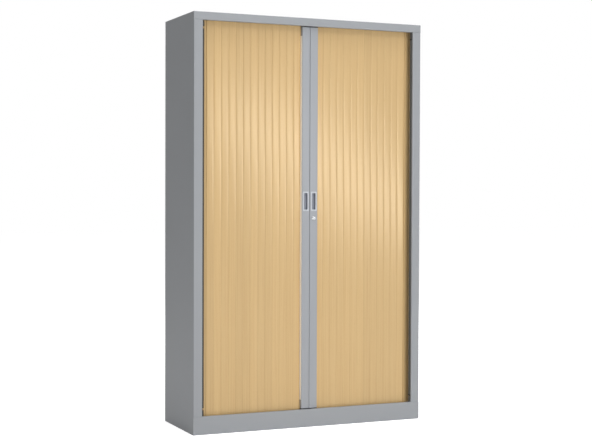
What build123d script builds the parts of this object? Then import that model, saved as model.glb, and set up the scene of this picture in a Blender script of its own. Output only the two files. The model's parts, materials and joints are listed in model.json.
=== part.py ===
from build123d import *
import math
import os

# Tall steel cupboard closed by two tambour curtains that slide sideways into its walls.
# Millimetres. X runs along the front, the front faces -Y, Z is up, and the origin is on the floor
# under the middle of the cupboard. Right-hand pieces are modelled, left-hand ones are mirrored.

# Overall size
CABINET_WIDTH = 1200.0
CABINET_DEPTH = 430.0
CABINET_HEIGHT = 1980.0

# Folded sheet-metal carcass
SHEET = 1.0
BEND_RADIUS = 2.0
BEND_GAP = 0.5
UPRIGHT_FACE = 44.0
RETURN_DEPTH = 15.0
HEADER_HEIGHT = 38.0
PLINTH_HEIGHT = 86.0
FLANGE = 20.0
FLOOR_LEVEL = 61.0
TRAY_LIP = 25.0
CORNER_WEB = 25.0
BASE_FLANGE_GAP = 5.0

# Leading rail, the upright bar that each curtain is pulled by
RAIL_WIDTH = 41.0
RAIL_DEPTH = 34.0
RAIL_WALL = 1.6
RAIL_SETBACK = 16.0
RAIL_CORNER = 3.0
RAIL_END_GAP = 4.0
MEETING_GAP = 1.2
OPEN_GAP = 0.4
PLUG_LENGTH = 25.0
PLUG_FIT = 0.05
CAP_THICKNESS = 3.0
CAP_MARGIN = 0.5
TONGUE_INSET = 2.0
TONGUE_PAST_CORNER = 3.0

# Tambour slats
FLAT_SLATS = 13
SLAT_THICKNESS = 9.0
CURTAIN_SETBACK = 34.0
SLAT_GAP = 0.4
SLAT_CROWN = 0.3
SLAT_FRONT_EDGE = 0.8
SLAT_REAR_EDGE = 0.6
PIVOT_U = 2.8
PIVOT_V = 6.2
BEAD_RADIUS = 1.5
NECK_HALF = 0.7
SOCKET_RADIUS = 1.9
MOUTH_HALF = 1.1
MOUTH_ANGLE = 70.0
TENON_WIDTH = 18.0
TENON_THICKNESS = 6.0
TENON_SETBACK = 0.5

# Track that carries the slats round the corner and along the side
TRACK_RADIUS = 62.0
TRACK_SIDE_OFFSET = 9.5
TRACK_REAR_OFFSET = 12.0
TRACK_BACK_RUN = 165.0
TRACK_GROOVE = 11.0
TRACK_WALL = 2.0
TRACK_BASE = 3.0
TRACK_HEIGHT = 18.0
SLAT_END_GAP = 0.5

# Interior
LINER_LIP = 9.0
LINER_START = 6.0
LINER_REAR_GAP = 4.0
LINER_OVERRUN = 14.0
SHELF_COUNT = 4
SHELF_LIP = 28.0
SHELF_FRONT_GAP = 80.0
SHELF_REAR_GAP = 30.0
SHELF_END_GAP = 1.7
SHELF_CORNER_CUT = 52.0
CLIP_WALL = 1.3
CLIP_WIDTH = 20.0
CLIP_LEDGE = 14.0
CLIP_LEDGE_THICKNESS = 2.0
CLIP_DROP = 12.0
CLIP_RISE = 9.0
CLIP_TAB = 4.0
STRIP_WIDTH = 26.0
STRIP_DEPTH = 8.0
STRIP_WALL = 1.5
SLOT_PITCH = 128.0
SLOT_WIDTH = 4.0
SLOT_HEIGHT = 10.0
STRIP_FRONT_INSET = 135.0
STRIP_REAR_INSET = 125.0

# Rubber stops that the open doors run up to
BUFFER_THICKNESS = 3.6
BUFFER_HEIGHT = 8.0
BUFFER_GRIP = 8.0
BUFFER_REACH = 9.0
BUFFER_INSET = 30.0

# Handles and lock
HANDLE_HEIGHT = 1096.0
CUP_FLANGE = (30.0, 94.0)
CUP_POCKET = (21.0, 84.0)
CUP_RECESS = (18.0, 80.0)
CUP_FLANGE_THICKNESS = 1.5
CUP_DEPTH = 15.0
CUP_FLOOR = 1.7
CUP_CORNER = 3.0
CUP_HOLE_FIT = 0.2
LOCK_DROP = 82.0
BARREL_DIAMETER = 18.0
ROSETTE_DIAMETER = 22.0
ROSETTE_THICKNESS = 2.5
ROSETTE_CHAMFER = 0.8
BARREL_FIT = 0.05
PLUG_DIAMETER = 10.6
PLUG_PROUD = 2.8
KEYWAY = (1.8, 7.0)
KEYWAY_DEPTH = 12.0
HOOK_LENGTH = 30.0
HOOK_WIDTH = 8.0
HOOK_THICKNESS = 2.5
HOOK_BOSS = 12.0
HOOK_REAR_GAP = 3.0
HOOK_SLACK = 1.5

# Levelling feet
FOOT_INSET_X = 100.0
FOOT_INSET_Y = 95.0
FOOT_RISE = 0.5
PAD_THICKNESS = 6.0
FOOT_NUT = 7.0
NUT_RADIUS = 9.0
STUD_PROUD = 9.0
BOSS_HEIGHT = 16.0
BOSS_WIDTH = 20.0
STUD_DIAMETER = 10.0
PAD_DIAMETER = 40.0

# Clearances: between pieces that move against each other, and round a clip's tab
FIT = 0.3
TAB_FIT = 0.2

HALF_WIDTH = CABINET_WIDTH / 2
FRONT = -CABINET_DEPTH / 2
REAR = CABINET_DEPTH / 2
OPENING_TOP = CABINET_HEIGHT - HEADER_HEIGHT
CEILING = CABINET_HEIGHT - SHEET
WALL_INSIDE = HALF_WIDTH - SHEET
RAIL_INNER = MEETING_GAP / 2
RAIL_OUTER = RAIL_INNER + RAIL_WIDTH
RAIL_CENTRE = (RAIL_INNER + RAIL_OUTER) / 2
RAIL_FRONT = FRONT + RAIL_SETBACK
RAIL_BACK = RAIL_FRONT + RAIL_DEPTH
LOCK_HEIGHT = HANDLE_HEIGHT - LOCK_DROP
RAIL_BOTTOM = PLINTH_HEIGHT + RAIL_END_GAP
RAIL_TOP = OPENING_TOP - RAIL_END_GAP
CURTAIN_FRONT = FRONT + CURTAIN_SETBACK
FOOT_X = HALF_WIDTH - FOOT_INSET_X
FOOT_Y = REAR - FOOT_INSET_Y
TRACK_FRONT_Y = CURTAIN_FRONT + SLAT_THICKNESS / 2
TRACK_SIDE_X = HALF_WIDTH - TRACK_SIDE_OFFSET
TRACK_REAR_Y = REAR - TRACK_REAR_OFFSET
CORNER_X = TRACK_SIDE_X - TRACK_RADIUS
CORNER_Y = TRACK_FRONT_Y + TRACK_RADIUS
PIVOT_RADIUS = TRACK_RADIUS - (PIVOT_V - SLAT_THICKNESS / 2)
DOOR_TRAVEL = HALF_WIDTH - UPRIGHT_FACE - BUFFER_THICKNESS - OPEN_GAP - RAIL_OUTER
SLAT_RUN = CORNER_X - RAIL_OUTER - PIVOT_U
SLAT_PITCH = SLAT_RUN / FLAT_SLATS
GROOVE_FLOOR = FLOOR_LEVEL + TRACK_BASE
GROOVE_CEILING = CEILING - TRACK_BASE
SLAT_BOTTOM = FLOOR_LEVEL + TRACK_HEIGHT + SLAT_END_GAP
SLAT_TOP = CEILING - TRACK_HEIGHT - SLAT_END_GAP
LINER_X = TRACK_SIDE_X - TRACK_GROOVE / 2 - TRACK_WALL - FIT - SHEET
SHELF_SPACING = (CEILING - FLOOR_LEVEL) / (SHELF_COUNT + 1)
STRIP_FACE = LINER_X - STRIP_DEPTH
STRIP_PLACES = (FRONT + STRIP_FRONT_INSET, REAR - STRIP_REAR_INSET)
SHELF_HALF = STRIP_FACE - SHELF_END_GAP
SHELF_FRONT = FRONT + SHELF_FRONT_GAP
SHELF_BACK = REAR - SHELF_REAR_GAP


def block(x, y, z):
    """A box between two limits on each axis."""
    size = [b - a for a, b in (x, y, z)]
    middle = [(a + b) / 2 for a, b in (x, y, z)]
    return Pos(*middle) * Box(*size)


def folded(*points):
    """The section of a folded sheet, from the middle line through its bends."""
    return trace(FilletPolyline(*points, radius=BEND_RADIUS), line_width=SHEET)


def upright_round(x, y, radius, low, high):
    return Pos(x, y, (low + high) / 2) * Cylinder(radius, high - low)


def upward(section, low, high):
    return extrude(Pos(0, 0, low) * section, amount=high - low)


def backward(section, front, depth):
    """A section drawn in X and Z, made solid from its front face towards +Y."""
    return extrude(Plane.XZ.offset(-(front + depth)) * section, amount=depth)


def to_left(part):
    return mirror(part, about=Plane.YZ)


def header_section():
    mid = SHEET / 2
    return folded(
        (FRONT + RETURN_DEPTH, OPENING_TOP + mid),
        (FRONT + mid, OPENING_TOP + mid),
        (FRONT + mid, CABINET_HEIGHT - mid),
        (REAR, CABINET_HEIGHT - mid),
    )


def plinth_section():
    mid = SHEET / 2
    return folded(
        (FRONT + RETURN_DEPTH, mid),
        (FRONT + mid, mid),
        (FRONT + mid, PLINTH_HEIGHT - mid),
        (FRONT + RETURN_DEPTH, PLINTH_HEIGHT - mid),
    )


def lengthwise(section):
    """A section drawn in Y and Z, run over the whole width, notched for the side walls."""
    bar = extrude(Plane.YZ.offset(-HALF_WIDTH) * section, amount=CABINET_WIDTH)
    for side in (-1, 1):
        limits = sorted((side * WALL_INSIDE, side * (HALF_WIDTH + 1)))
        bar -= block(limits, (FRONT + SHEET, REAR + 1), (-1, CEILING))
    return bar


def side_panel():
    mid = SHEET / 2
    opening_edge = HALF_WIDTH - UPRIGHT_FACE
    section = folded(
        (opening_edge + mid, FRONT + RETURN_DEPTH),
        (opening_edge + mid, FRONT + mid),
        (HALF_WIDTH - mid, FRONT + mid),
        (HALF_WIDTH - mid, REAR - mid),
        (HALF_WIDTH - FLANGE, REAR - mid),
    )
    panel = upward(section, 0, CEILING)
    for low, high in ((-1, PLINTH_HEIGHT), (OPENING_TOP, CABINET_HEIGHT)):
        panel -= block((opening_edge - 1, HALF_WIDTH + 1), (FRONT - 1, FRONT + CORNER_WEB), (low, high))
    wall = (WALL_INSIDE, HALF_WIDTH)
    filled = (FRONT + SHEET, FRONT + CORNER_WEB)
    panel += block(wall, filled, (0, PLINTH_HEIGHT))
    panel += block(wall, filled, (OPENING_TOP, CEILING))
    base_flange = (FRONT + RETURN_DEPTH + BASE_FLANGE_GAP, REAR - FLANGE)
    return panel + block((HALF_WIDTH - FLANGE, WALL_INSIDE), base_flange, (0, SHEET))


def bottom_panel():
    """An open-bottomed tray with a welded boss over each levelling foot."""
    rear = REAR - 2 * SHEET - BEND_GAP
    outer = block((-WALL_INSIDE, WALL_INSIDE), (FRONT + SHEET, rear), (FLOOR_LEVEL - TRAY_LIP, FLOOR_LEVEL))
    inner = block(
        (SHEET - WALL_INSIDE, WALL_INSIDE - SHEET),
        (FRONT + 2 * SHEET, rear - SHEET),
        (FLOOR_LEVEL - TRAY_LIP - 1, FLOOR_LEVEL - SHEET),
    )
    tray = outer - inner
    half = BOSS_WIDTH / 2
    boss_z = (FLOOR_LEVEL - SHEET - BOSS_HEIGHT, FLOOR_LEVEL - SHEET)
    for x, y in foot_places():
        tray += block((x - half, x + half), (y - half, y + half), boss_z)
        tray -= upright_round(x, y, STUD_DIAMETER / 2 + FIT, FLOOR_LEVEL - TRAY_LIP, FLOOR_LEVEL + 1)
    return tray


def back_panel():
    side = WALL_INSIDE - BEND_RADIUS
    return block((-side, side), (REAR - 2 * SHEET, REAR - SHEET), (SHEET, CEILING - 0.1))


def liner():
    """Inner wall that keeps what is stored off the curtain in the side and rear runs."""
    mid = SHEET / 2
    wall_x = LINER_X + mid
    start_y = CORNER_Y + LINER_START
    rear_y = TRACK_REAR_Y - TRACK_GROOVE / 2 - TRACK_WALL - LINER_REAR_GAP
    end_x = CORNER_X - TRACK_BACK_RUN - LINER_OVERRUN
    section = folded(
        (wall_x - LINER_LIP, start_y),
        (wall_x, start_y),
        (wall_x, rear_y - TRACK_RADIUS),
        (wall_x - TRACK_RADIUS, rear_y),
        (end_x, rear_y),
        (end_x, REAR - 2 * SHEET),
    )
    return upward(section, FLOOR_LEVEL, CEILING)


def track_path():
    return FilletPolyline(
        (RAIL_INNER, TRACK_FRONT_Y),
        (TRACK_SIDE_X, TRACK_FRONT_Y),
        (TRACK_SIDE_X, TRACK_REAR_Y),
        (CORNER_X - TRACK_BACK_RUN, TRACK_REAR_Y),
        radius=TRACK_RADIUS,
    )


def bottom_track():
    path = track_path()
    band = trace(path, line_width=TRACK_GROOVE + 2 * TRACK_WALL)
    groove = trace(path, line_width=TRACK_GROOVE)
    solid = upward(band, FLOOR_LEVEL, FLOOR_LEVEL + TRACK_HEIGHT)
    return solid - upward(groove, GROOVE_FLOOR, FLOOR_LEVEL + TRACK_HEIGHT + 1)


def top_track():
    """The bottom track turned over and hung from the top panel."""
    flipped = mirror(bottom_track(), about=Plane.XY)
    return Pos(0, 0, CEILING + FLOOR_LEVEL) * flipped


def facets(centre_u, radius, start, stop, count):
    """Points along an arc about a pivot, with angles in degrees from the far side."""
    angles = [math.radians(start + (stop - start) * k / count) for k in range(count + 1)]
    return [(centre_u + radius * math.cos(a), PIVOT_V + radius * math.sin(a)) for a in angles]


def slat_section():
    """Slat across its width (X) and thickness (Y): crowned front, bead on the far edge, and a
    hooked socket on the near edge that takes the neighbour's bead and lets it turn rearwards."""
    near = SLAT_GAP / 2
    far = SLAT_PITCH - near
    back = SLAT_THICKNESS
    edge = SLAT_FRONT_EDGE
    neck_turn = math.degrees(math.asin(NECK_HALF / BEAD_RADIUS))
    bead = facets(SLAT_PITCH + PIVOT_U, BEAD_RADIUS, neck_turn - 180, 180 - neck_turn, 6)
    mouth_turn = math.degrees(math.asin(MOUTH_HALF / SOCKET_RADIUS))
    socket = facets(PIVOT_U, SOCKET_RADIUS, 180 - MOUTH_ANGLE, mouth_turn - 180, 5)
    lip_u, lip_v = socket[0]
    tip_u = lip_u - (back - lip_v) / math.tan(math.radians(MOUTH_ANGLE))
    outline = [
        ThreePointArc((near + edge, SLAT_CROWN), (SLAT_PITCH / 2, 0), (far - edge, SLAT_CROWN)),
        Polyline(
            (far - edge, SLAT_CROWN),
            (far, SLAT_CROWN + edge),
            (far, PIVOT_V - NECK_HALF),
            *bead,
            (far, PIVOT_V + NECK_HALF),
            (far, back - SLAT_REAR_EDGE),
            (far - SLAT_REAR_EDGE, back),
            (tip_u, back),
            *socket,
            (near, PIVOT_V - MOUTH_HALF),
            (near, SLAT_CROWN + edge),
            (near + edge, SLAT_CROWN),
        ),
    ]
    return make_face(outline)


def slat_blank():
    """One slat at the origin, with the tenons that ride in the tracks."""
    slat = upward(slat_section(), SLAT_BOTTOM, SLAT_TOP)
    across = ((SLAT_PITCH - TENON_WIDTH) / 2, (SLAT_PITCH + TENON_WIDTH) / 2)
    through = (TENON_SETBACK, TENON_SETBACK + TENON_THICKNESS)
    slat += block(across, through, (GROOVE_FLOOR + FIT, SLAT_BOTTOM))
    return slat + block(across, through, (SLAT_TOP, GROOVE_CEILING - 1))


def pivots():
    """Hinge points of the right-hand curtain, from the leading rail outwards: along the front
    run, round the corner and one pitch into the side run."""
    y = CURTAIN_FRONT + PIVOT_V
    points = [(RAIL_OUTER + PIVOT_U + k * SLAT_PITCH, y) for k in range(FLAT_SLATS + 1)]
    step = 2 * math.asin(SLAT_PITCH / 2 / PIVOT_RADIUS)
    for k in (1, 2):
        x = CORNER_X + PIVOT_RADIUS * math.sin(k * step)
        points.append((x, CORNER_Y - PIVOT_RADIUS * math.cos(k * step)))
    last_x, last_y = points[-1]
    side_x = CORNER_X + PIVOT_RADIUS
    points.append((side_x, last_y + math.sqrt(SLAT_PITCH**2 - (side_x - last_x) ** 2)))
    return points


def placed_slats():
    """Every slat of the right-hand curtain, in order from the rail."""
    blank = Pos(-PIVOT_U, -PIVOT_V, 0) * slat_blank()
    points = pivots()
    slats = []
    for (x0, y0), (x1, y1) in zip(points, points[1:]):
        angle = math.degrees(math.atan2(y1 - y0, x1 - x0))
        slats.append(Pos(x0, y0, 0) * Rot(0, 0, angle) * blank)
    return slats


def rail_section():
    width = RAIL_WIDTH
    depth = RAIL_DEPTH
    outer = RectangleRounded(width, depth, RAIL_CORNER)
    inner = RectangleRounded(width - 2 * RAIL_WALL, depth - 2 * RAIL_WALL, RAIL_CORNER - RAIL_WALL)
    return Pos(RAIL_CENTRE, (RAIL_FRONT + RAIL_BACK) / 2) * (outer - inner)


def rail_bead():
    """The bead along the rail's outer edge that the first slat hooks on to."""
    pivot_x = RAIL_OUTER + PIVOT_U
    pivot_y = CURTAIN_FRONT + PIVOT_V
    neck = Pos((RAIL_OUTER - 0.5 + pivot_x) / 2, pivot_y) * Rectangle(PIVOT_U + 0.5, 2 * NECK_HALF)
    return neck + Pos(pivot_x, pivot_y) * Circle(BEAD_RADIUS)


def leading_rail():
    rail = upward(rail_section(), RAIL_BOTTOM, RAIL_TOP)
    rail += upward(rail_bead(), RAIL_BOTTOM, RAIL_TOP)
    cup_size = [side + 2 * CUP_HOLE_FIT for side in CUP_POCKET]
    cup_hole = Pos(RAIL_CENTRE, HANDLE_HEIGHT) * Rectangle(*cup_size)
    rail -= backward(cup_hole, RAIL_FRONT - 1, RAIL_WALL + 2)
    hook_slot = block(
        (RAIL_INNER - 1, RAIL_INNER + RAIL_WALL + 1),
        (hook_front() - HOOK_SLACK, hook_front() + HOOK_THICKNESS + HOOK_SLACK),
        (LOCK_HEIGHT - HOOK_LENGTH + 2 * HOOK_SLACK, LOCK_HEIGHT + HOOK_WIDTH / 2 + HOOK_SLACK),
    )
    return rail - hook_slot


def lock_rail():
    """The right-hand rail, bored for the cylinder lock."""
    bore = Pos(RAIL_CENTRE, LOCK_HEIGHT) * Circle(BARREL_DIAMETER / 2 + BARREL_FIT)
    return leading_rail() - backward(bore, RAIL_FRONT - 1, RAIL_WALL + 2)


def rail_glides():
    """Nylon end pieces: each plugs into the hollow rail and runs in the track groove, with a
    tongue that stops short of the corner when the door is open."""
    inset = RAIL_WALL + PLUG_FIT
    plug_x = (RAIL_INNER + inset, RAIL_OUTER - inset)
    plug_y = (RAIL_FRONT + inset, RAIL_BACK - inset)
    cap_x = (RAIL_INNER + CAP_MARGIN, RAIL_OUTER - CAP_MARGIN)
    cap_y = (RAIL_FRONT + CAP_MARGIN, RAIL_BACK - CAP_MARGIN)
    cap_low = RAIL_BOTTOM - CAP_THICKNESS
    cap_high = RAIL_TOP + CAP_THICKNESS
    half_groove = TRACK_GROOVE / 2 - FIT
    tongue_x = (RAIL_INNER + TONGUE_INSET, CORNER_X - DOOR_TRAVEL + TONGUE_PAST_CORNER)
    tongue_y = (TRACK_FRONT_Y - half_groove, TRACK_FRONT_Y + half_groove)
    low = eased(block(plug_x, plug_y, (RAIL_BOTTOM, RAIL_BOTTOM + PLUG_LENGTH)))
    low += block(cap_x, cap_y, (cap_low, RAIL_BOTTOM))
    low += block(tongue_x, tongue_y, (GROOVE_FLOOR + FIT, cap_low))
    high = eased(block(plug_x, plug_y, (RAIL_TOP - PLUG_LENGTH, RAIL_TOP)))
    high += block(cap_x, cap_y, (RAIL_TOP, cap_high))
    high += block(tongue_x, tongue_y, (cap_high, GROOVE_CEILING - 2))
    return [low, high]


def eased(plug):
    """The plug with its long edges cut back to clear the rail's inner corners."""
    return chamfer(plug.edges().filter_by(Axis.Z), RAIL_CORNER - RAIL_WALL)


def handle_cup():
    centre = Pos(RAIL_CENTRE, HANDLE_HEIGHT)
    flange = centre * RectangleRounded(*CUP_FLANGE, CUP_CORNER)
    cup = backward(flange, RAIL_FRONT - CUP_FLANGE_THICKNESS, CUP_FLANGE_THICKNESS)
    cup += backward(centre * RectangleRounded(*CUP_POCKET, CUP_CORNER), RAIL_FRONT, CUP_DEPTH)
    recess = centre * RectangleRounded(*CUP_RECESS, CUP_CORNER)
    return cup - backward(recess, RAIL_FRONT - 2, CUP_DEPTH + 2 - CUP_FLOOR)


def hook_front():
    return RAIL_BACK - RAIL_WALL - HOOK_REAR_GAP - HOOK_THICKNESS


def lock_circle(diameter, front, depth):
    return backward(Pos(RAIL_CENTRE, LOCK_HEIGHT) * Circle(diameter / 2), front, depth)


def lock_barrel():
    length = hook_front() - FIT - RAIL_FRONT
    barrel = lock_circle(ROSETTE_DIAMETER, RAIL_FRONT - ROSETTE_THICKNESS, ROSETTE_THICKNESS)
    barrel = chamfer(barrel.edges().sort_by(Axis.Y)[0], ROSETTE_CHAMFER)
    barrel += lock_circle(BARREL_DIAMETER, RAIL_FRONT, length)
    return barrel - lock_circle(PLUG_DIAMETER + 2 * FIT, RAIL_FRONT - 5, length + 10)


def lock_plug():
    front = RAIL_FRONT - PLUG_PROUD
    plug = lock_circle(PLUG_DIAMETER, front, hook_front() - front)
    keyway = Pos(RAIL_CENTRE, LOCK_HEIGHT) * Rectangle(*KEYWAY)
    return plug - backward(keyway, front - 1, KEYWAY_DEPTH + 1)


def lock_hook():
    """Flat arm on the end of the plug, hanging down when the lock is open."""
    arm = Pos(RAIL_CENTRE, LOCK_HEIGHT - HOOK_LENGTH / 2) * Rectangle(HOOK_WIDTH, HOOK_LENGTH)
    boss = Pos(RAIL_CENTRE, LOCK_HEIGHT) * Circle(HOOK_BOSS / 2)
    return backward(arm + boss, hook_front(), HOOK_THICKNESS)


def slot_heights():
    count = math.floor((CEILING - FLOOR_LEVEL - 60) / SLOT_PITCH)
    return [FLOOR_LEVEL + SLOT_PITCH * k for k in range(1, count + 1)]


def slotted_strip(y):
    """Channel screwed to the liner, with a column of slots for the shelf clips."""
    half = STRIP_WIDTH / 2
    outer = block((STRIP_FACE, LINER_X), (y - half, y + half), (FLOOR_LEVEL, CEILING))
    inner = block(
        (STRIP_FACE + STRIP_WALL, LINER_X + 1),
        (y - half + STRIP_WALL, y + half - STRIP_WALL),
        (FLOOR_LEVEL - 1, CEILING + 1),
    )
    strip = outer - inner
    for z in slot_heights():
        slot_y = (y - SLOT_WIDTH / 2, y + SLOT_WIDTH / 2)
        slot_z = (z - SHELF_LIP - SLOT_HEIGHT / 2, z - SHELF_LIP + SLOT_HEIGHT / 2)
        strip -= block((STRIP_FACE - 1, STRIP_FACE + STRIP_WALL + 1), slot_y, slot_z)
    return strip


def shelf_levels():
    slots = slot_heights()
    wanted = [FLOOR_LEVEL + SHELF_SPACING * (k + 1) for k in range(SHELF_COUNT)]
    return [min(slots, key=lambda z: abs(z - level)) for level in wanted]


def shelf(level):
    """Folded tray with its lips turned down and its rear corners cut back."""
    cut = SHELF_CORNER_CUT
    half = SHELF_HALF
    outline = Polyline(
        (-half, SHELF_FRONT),
        (half, SHELF_FRONT),
        (half, SHELF_BACK - cut),
        (half - cut, SHELF_BACK),
        (cut - half, SHELF_BACK),
        (-half, SHELF_BACK - cut),
        close=True,
    )
    plan = make_face(outline)
    tray = upward(plan, level - SHELF_LIP, level)
    return tray - upward(offset(plan, amount=-SHEET), level - SHELF_LIP - 1, level - SHEET)


def shelf_clip(level, y):
    """Tab through a slot, plate against the strip and ledge under the shelf's lip."""
    seat = level - SHELF_LIP
    plate = STRIP_FACE - CLIP_WALL
    across = (y - CLIP_WIDTH / 2, y + CLIP_WIDTH / 2)
    clip = block((plate, STRIP_FACE), across, (seat - CLIP_DROP, seat + CLIP_RISE))
    clip += block((STRIP_FACE - CLIP_LEDGE, plate), across, (seat - CLIP_LEDGE_THICKNESS, seat))
    half_y = SLOT_WIDTH / 2 - TAB_FIT
    half_z = SLOT_HEIGHT / 2 - TAB_FIT
    tab_x = (STRIP_FACE, STRIP_FACE + CLIP_TAB)
    return clip + block(tab_x, (y - half_y, y + half_y), (seat - half_z, seat + half_z))


def end_buffer(height):
    """Rubber stop on the upright's return, which the rail's side meets when the door is open."""
    front = FRONT + RETURN_DEPTH - BUFFER_GRIP
    length = RAIL_FRONT + BUFFER_REACH - front
    face = Plane.YZ.offset(HALF_WIDTH - UPRIGHT_FACE - BUFFER_THICKNESS)
    outline = Pos(front + length / 2, height) * SlotOverall(length, BUFFER_HEIGHT)
    return extrude(face * outline, amount=BUFFER_THICKNESS)


def foot_places():
    return [(x, y) for x in (-FOOT_X, FOOT_X) for y in (-FOOT_Y, FOOT_Y)]


def levelling_foot(x, y):
    """Threaded stud on a broad pad, with a hexagon to turn it by."""
    pad_top = FOOT_RISE + PAD_THICKNESS
    nut_top = pad_top + FOOT_NUT
    pad = upright_round(x, y, PAD_DIAMETER / 2, FOOT_RISE, pad_top)
    pad += extrude(Pos(x, y, pad_top) * RegularPolygon(NUT_RADIUS, 6), amount=FOOT_NUT)
    return pad + upright_round(x, y, STUD_DIAMETER / 2, nut_top, FLOOR_LEVEL + STUD_PROUD)


def carcass():
    parts = {
        "right_side_panel": side_panel(),
        "left_side_panel": to_left(side_panel()),
        "top_panel": lengthwise(header_section()),
        "plinth": lengthwise(plinth_section()),
        "bottom_panel": bottom_panel(),
        "back_panel": back_panel(),
        "right_liner": liner(),
        "left_liner": to_left(liner()),
    }
    for name, track in (("bottom_tracks", bottom_track()), ("top_tracks", top_track())):
        parts[name] = [track, to_left(track)]
    return parts


def interior():
    strips = [slotted_strip(y) for y in STRIP_PLACES]
    parts = {"slotted_strips": strips + [to_left(s) for s in strips]}
    clips = []
    for number, level in enumerate(shelf_levels(), 1):
        parts[f"shelf_{number}"] = shelf(level)
        clips += [shelf_clip(level, y) for y in STRIP_PLACES]
    parts["shelf_clips"] = clips + [to_left(c) for c in clips]
    heights = (RAIL_BOTTOM + BUFFER_INSET, RAIL_TOP - BUFFER_INSET)
    buffers = [end_buffer(z) for z in heights]
    parts["end_buffers"] = buffers + [to_left(b) for b in buffers]
    return parts


def feet():
    parts = {}
    for x, y in foot_places():
        side = "left" if x < 0 else "right"
        end = "front" if y < 0 else "rear"
        parts[f"{end}_{side}_foot"] = levelling_foot(x, y)
    return parts


def doors():
    glides = rail_glides()
    return {
        "left_leading_rail": to_left(leading_rail()),
        "right_leading_rail": lock_rail(),
        "left_rail_glides": [to_left(g) for g in glides],
        "right_rail_glides": glides,
        "left_handle_cup": to_left(handle_cup()),
        "right_handle_cup": handle_cup(),
        "lock_barrel": lock_barrel(),
        "lock_plug": lock_plug(),
        "lock_hook": lock_hook(),
    }


def curtains():
    slats = placed_slats()
    parts = {}
    for side in ("left", "right"):
        hand = [to_left(s) for s in slats] if side == "left" else slats
        for number, slat in enumerate(hand[:FLAT_SLATS], 1):
            parts[f"{side}_slat_{number:02d}"] = slat
        parts[f"{side}_corner_slats"] = hand[FLAT_SLATS : FLAT_SLATS + 2]
        parts[f"{side}_tail_slat"] = hand[FLAT_SLATS + 2]
    return parts


def main():
    os.makedirs("parts", exist_ok=True)
    parts = {**carcass(), **interior(), **feet(), **doors(), **curtains()}
    for name, part in parts.items():
        shape = Compound(children=part) if isinstance(part, list) else part
        export_step(shape, f"parts/{name}.step")


main()
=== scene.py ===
import json
import math

import bmesh
import bpy
from bpy.props import FloatProperty, FloatVectorProperty, IntProperty, PointerProperty
from bpy.types import Operator, Panel, PropertyGroup
from mathutils import Matrix, Vector


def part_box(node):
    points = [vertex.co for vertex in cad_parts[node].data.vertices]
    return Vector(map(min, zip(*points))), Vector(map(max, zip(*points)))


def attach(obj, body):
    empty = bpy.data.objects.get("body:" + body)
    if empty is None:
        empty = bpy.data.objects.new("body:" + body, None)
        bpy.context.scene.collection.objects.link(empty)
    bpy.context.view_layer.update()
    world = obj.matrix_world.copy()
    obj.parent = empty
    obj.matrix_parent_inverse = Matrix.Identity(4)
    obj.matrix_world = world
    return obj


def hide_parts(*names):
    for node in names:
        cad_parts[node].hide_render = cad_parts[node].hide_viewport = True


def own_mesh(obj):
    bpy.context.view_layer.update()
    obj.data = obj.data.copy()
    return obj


bl_info = {
    "name": "Tambour Cupboard",
    "version": (1, 0, 0),
    "blender": (4, 5, 0),
    "location": "View3D > Sidebar > Cupboard",
    "description": "Dresses a steel cupboard with beech tambour curtains, fittings and a studio",
    "category": "Object",
}

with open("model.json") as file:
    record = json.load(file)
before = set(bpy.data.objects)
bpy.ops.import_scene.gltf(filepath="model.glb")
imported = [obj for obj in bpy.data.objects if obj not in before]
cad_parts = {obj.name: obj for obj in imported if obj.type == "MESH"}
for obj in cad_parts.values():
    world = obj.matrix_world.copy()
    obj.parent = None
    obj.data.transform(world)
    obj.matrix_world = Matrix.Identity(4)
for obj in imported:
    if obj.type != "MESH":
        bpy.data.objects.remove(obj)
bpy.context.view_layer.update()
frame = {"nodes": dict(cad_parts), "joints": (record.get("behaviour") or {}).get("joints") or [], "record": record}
MM = 0.001
WHITE = (1.0, 1.0, 1.0, 1.0)
SIDES = (("left", -1), ("right", 1))
FLAT_SLATS = sum(name.startswith("right_slat_") for name in frame["nodes"])
JOINTS = {joint["name"]: joint for joint in frame["joints"]}

# Sizes of the CAD parts that their boxes don't tell
SLAT_END_GAP = 0.5 * MM
RAIL_OUTER = 41.6 * MM
RAIL_END_GAP = 4 * MM
BUFFER_HEIGHT = 8 * MM
STRIP_WIDTH = 26 * MM
STRIP_DEPTH = 8 * MM

# Sizes taken from the boxes of the slats, tracks and strips
SLAT_LOW, SLAT_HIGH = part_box("right_slat_01")
SLAT_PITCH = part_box("right_slat_02")[0].x - SLAT_LOW.x
SLAT_THICKNESS = SLAT_HIGH.y - SLAT_LOW.y
CURTAIN_FRONT = SLAT_LOW.y
SLAT_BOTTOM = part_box("bottom_tracks")[1].z + SLAT_END_GAP
SLAT_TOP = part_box("top_tracks")[0].z - SLAT_END_GAP
CORNER = Vector(JOINTS["right_corner_turn"]["pos_m"])
STRIP_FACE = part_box("slotted_strips")[1].x - STRIP_DEPTH

# Screws on each strip: their number, how far the lowest sits below the foot of the lowest shelf
# and their spacing, both in slot pitches. Then the rivets, from the edge of the back.
SCREWS = 5
SCREW_DROP = 9.5
SCREW_STEP = 14
RIVET_INSET = 25 * MM

# The lock barrel's wall, and the slope round the mouth of its bore
BARREL_WALL = 3.4 * MM
BORE_CHAMFER = 0.5 * MM

# Left open round the trims and seals, and the distance at which two points become one
CLEARANCE = 1 * MM
WELD = 0.001 * MM


def linear(code):
    """One sRGB hex colour as linear red, green and blue."""
    values = [int(code[i:i + 2], 16) / 255 for i in (1, 3, 5)]
    return [v / 12.92 if v <= 0.04045 else ((v + 0.055) / 1.055) ** 2.4 for v in values]


def size(label, description, default):
    return FloatProperty(name=label, description=description, default=default, unit="LENGTH")


def watts(label, description, default):
    return FloatProperty(name=label, description=description, default=default, unit="POWER")


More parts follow.
